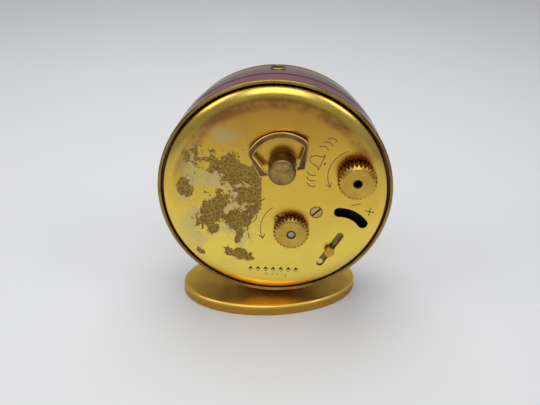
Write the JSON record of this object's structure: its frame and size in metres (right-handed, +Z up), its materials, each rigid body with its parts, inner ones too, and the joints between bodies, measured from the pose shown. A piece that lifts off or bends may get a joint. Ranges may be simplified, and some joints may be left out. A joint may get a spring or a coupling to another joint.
{
  "type": "mechanical alarm clock",
  "caption": "Small round mechanical alarm clock on an oval gilt foot: burgundy case, gilt back with folding winding key, toothed setting knobs, regulator slot and alarm slide.",
  "frame": {"origin": "under the foot's fixing screw, on the foot's flat underside and so on the surface the clock stands on", "axes": "+Z up; the dial faces -Y and the back with the winding key faces +Y; +X is to the right of somebody looking at the dial"},
  "size_m": [0.062, 0.0317, 0.0663],
  "materials": {
    "gilt_foot": "satin gilt",
    "gilt_rim": "satin gilt",
    "gilt_cover": "satin gilt, lacquer partly worn away",
    "gilt_knob": "turned and polished gilt",
    "brown_bow": "browned, gilt at the edges",
    "burgundy_enamel": "glossy lacquer",
    "gilt_bezel": "polished gilt",
    "movement_brass": "straw-grained",
    "wheel_brass": "polished",
    "steel": "polished",
    "blued_steel": "blued",
    "bright_screw": "polished",
    "ruby": "polished jewel",
    "crystal": "clear acrylic",
    "dial_champagne": "sunray champagne",
    "dial_trim": "matt cream",
    "black_hand": "satin black",
    "movement_plastic": "moulded black"
  },
  "bodies": {
    "case": {"foot_plate": "gilt_foot", "foot_screw": "steel", "foot_pillar": "gilt_foot", "rear_rim": "gilt_rim", "case_band_rear": "burgundy_enamel", "case_band_front": "burgundy_enamel", "front_bezel": "gilt_bezel", "crystal": "crystal", "dial_flange": "dial_trim", "dial": "dial_champagne", "hour_markers": "gilt_bezel", "movement_ring": "movement_plastic", "back_cover": "gilt_cover", "cover_screws": "bright_screw", "button_bush": "gilt_rim", "back_plate": "movement_brass", "front_plate": "movement_brass", "plate_pillars": "movement_brass", "plate_screws": "steel", "train_jewels": "ruby", "balance_cock": "movement_brass", "cock_screw": "steel", "pallet_bridge": "movement_brass", "click_screw": "steel", "gong_post": "steel", "hairspring": "blued_steel"},
    "winding_arbor": {"winding_stem": "gilt_knob", "winding_pinion": "steel"},
    "winding_bow": {"key_bow": "brown_bow"},
    "spring_arbor": {"barrel_arbor": "steel", "ratchet_wheel": "steel"},
    "barrel": {"barrel_drum": "wheel_brass", "barrel_lid": "wheel_brass", "mainspring": "blued_steel"},
    "click_pawl": {"click": "steel"},
    "relay": {"relay_wheel": "wheel_brass"},
    "centre": {"centre_wheel": "wheel_brass"},
    "third": {"third_wheel": "wheel_brass"},
    "fourth": {"fourth_wheel": "wheel_brass"},
    "escape": {"escape_wheel": "steel"},
    "pallets": {"pallet_lever": "steel", "pallet_stones": "ruby"},
    "balance": {"balance_wheel": "wheel_brass", "balance_staff": "steel"},
    "hand_setting": {"time_set_arbor": "steel", "time_set_knob": "gilt_knob", "minute_wheel": "wheel_brass"},
    "minute_pointer": {"cannon_pinion": "steel", "minute_hand": "black_hand"},
    "hour_pointer": {"hour_wheel": "wheel_brass", "hour_hand": "black_hand"},
    "alarm_pointer": {"alarm_wheel": "wheel_brass", "alarm_hand": "gilt_bezel"},
    "alarm_setting": {"alarm_set_arbor": "steel", "alarm_set_knob": "gilt_knob"},
    "alarm_switch": {"alarm_slide": "wheel_brass", "alarm_slide_pin": "gilt_knob"},
    "regulator": {"regulator_lever": "blued_steel"},
    "hammer": {"alarm_hammer": "steel"},
    "stop": {"stop_button": "gilt_rim"}
  },
  "joints": [
    {"name": "winding_turn", "type": "hinge", "parent": "case", "child": "winding_arbor", "pos_m": [-0.00184, 0.0085, 0.044], "axis": [0, 1, 0], "continuous": true},
    {"name": "bow_fold", "type": "hinge", "parent": "winding_arbor", "child": "winding_bow", "pos_m": [-0.00184, 0.0135, 0.044], "axis": [-0.9774, 0, 0.2113], "range_deg": [0, 210]},
    {"name": "spring_arbor_turn", "type": "hinge", "parent": "case", "child": "spring_arbor", "pos_m": [0.0115, 0.0085, 0.0413], "axis": [0, 1, 0], "continuous": true},
    {"name": "barrel_turn", "type": "hinge", "parent": "case", "child": "barrel", "pos_m": [0.0115, 0.0085, 0.0413], "axis": [0, 1, 0], "continuous": true},
    {"name": "click_swing", "type": "hinge", "parent": "case", "child": "click_pawl", "pos_m": [0.0062, 0.0085, 0.029], "axis": [0, 1, 0], "range_deg": [0, 15], "stiffness_Nm_per_rad": 0.00002, "springref_deg": -17.19},
    {"name": "relay_turn", "type": "hinge", "parent": "case", "child": "relay", "pos_m": [0.00823, 0.0085, 0.03035], "axis": [0, 1, 0], "continuous": true},
    {"name": "centre_turn", "type": "hinge", "parent": "case", "child": "centre", "pos_m": [0, 0.0085, 0.0353], "axis": [0, 1, 0], "continuous": true},
    {"name": "third_turn", "type": "hinge", "parent": "case", "child": "third", "pos_m": [-0.009, 0.0085, 0.0353], "axis": [0, 1, 0], "continuous": true},
    {"name": "fourth_turn", "type": "hinge", "parent": "case", "child": "fourth", "pos_m": [-0.01187, 0.0085, 0.02914], "axis": [0, 1, 0], "continuous": true},
    {"name": "escape_turn", "type": "hinge", "parent": "case", "child": "escape", "pos_m": [-0.00973, 0.0085, 0.02383], "axis": [0, 1, 0], "continuous": true},
    {"name": "pallet_rock", "type": "hinge", "parent": "case", "child": "pallets", "pos_m": [-0.01347, 0.0085, 0.0235], "axis": [0, 1, 0], "range_deg": [-3, 3]},
    {"name": "balance_swing", "type": "hinge", "parent": "case", "child": "balance", "pos_m": [-0.0173, 0.0085, 0.02315], "axis": [0, 1, 0], "range_deg": [-270, 270], "stiffness_Nm_per_rad": 0.0000008},
    {"name": "time_set_turn", "type": "hinge", "parent": "case", "child": "hand_setting", "pos_m": [-0.0046, 0.0085, 0.0251], "axis": [0, 1, 0], "continuous": true},
    {"name": "minute_hand_turn", "type": "hinge", "parent": "case", "child": "minute_pointer", "pos_m": [0, 0.0085, 0.0353], "axis": [0, 1, 0], "continuous": true},
    {"name": "hour_hand_turn", "type": "hinge", "parent": "case", "child": "hour_pointer", "pos_m": [0, 0.0085, 0.0353], "axis": [0, 1, 0], "continuous": true},
    {"name": "alarm_hand_turn", "type": "hinge", "parent": "case", "child": "alarm_pointer", "pos_m": [0, 0.0085, 0.0353], "axis": [0, 1, 0], "continuous": true},
    {"name": "alarm_set_turn", "type": "hinge", "parent": "case", "child": "alarm_setting", "pos_m": [-0.0211, 0.0085, 0.0413], "axis": [0, 1, 0], "continuous": true},
    {"name": "alarm_switch_slide", "type": "slide", "parent": "case", "child": "alarm_switch", "axis": [0.5102, 0, -0.8601], "range_m": [-0.0053, 0.004]},
    {"name": "regulator_swing", "type": "hinge", "parent": "case", "child": "regulator", "pos_m": [-0.0173, 0.0085, 0.02315], "axis": [0, 1, 0], "range_deg": [-24, 24]},
    {"name": "hammer_swing", "type": "hinge", "parent": "case", "child": "hammer", "pos_m": [-0.012, 0.0085, 0.0488], "axis": [0, 1, 0], "range_deg": [0, 12], "stiffness_Nm_per_rad": 0.0002, "springref_deg": -17.19},
    {"name": "stop_button_slide", "type": "slide", "parent": "case", "child": "stop", "axis": [0, 0, 1], "range_m": [0, 0.002]}
  ],
  "couplings": [
    {"joint": "spring_arbor_turn", "follows": "winding_turn", "ratio": -0.5},
    {"joint": "third_turn", "follows": "fourth_turn", "ratio": -0.13333},
    {"joint": "centre_turn", "follows": "fourth_turn", "ratio": 0.016667},
    {"joint": "relay_turn", "follows": "fourth_turn", "ratio": -0.0041667},
    {"joint": "barrel_turn", "follows": "fourth_turn", "ratio": 0.00059524},
    {"joint": "escape_turn", "follows": "fourth_turn", "ratio": -10},
    {"joint": "minute_hand_turn", "follows": "time_set_turn", "ratio": -3},
    {"joint": "hour_hand_turn", "follows": "time_set_turn", "ratio": -0.25},
    {"joint": "alarm_set_turn", "follows": "alarm_hand_turn", "ratio": -5}
  ]
}
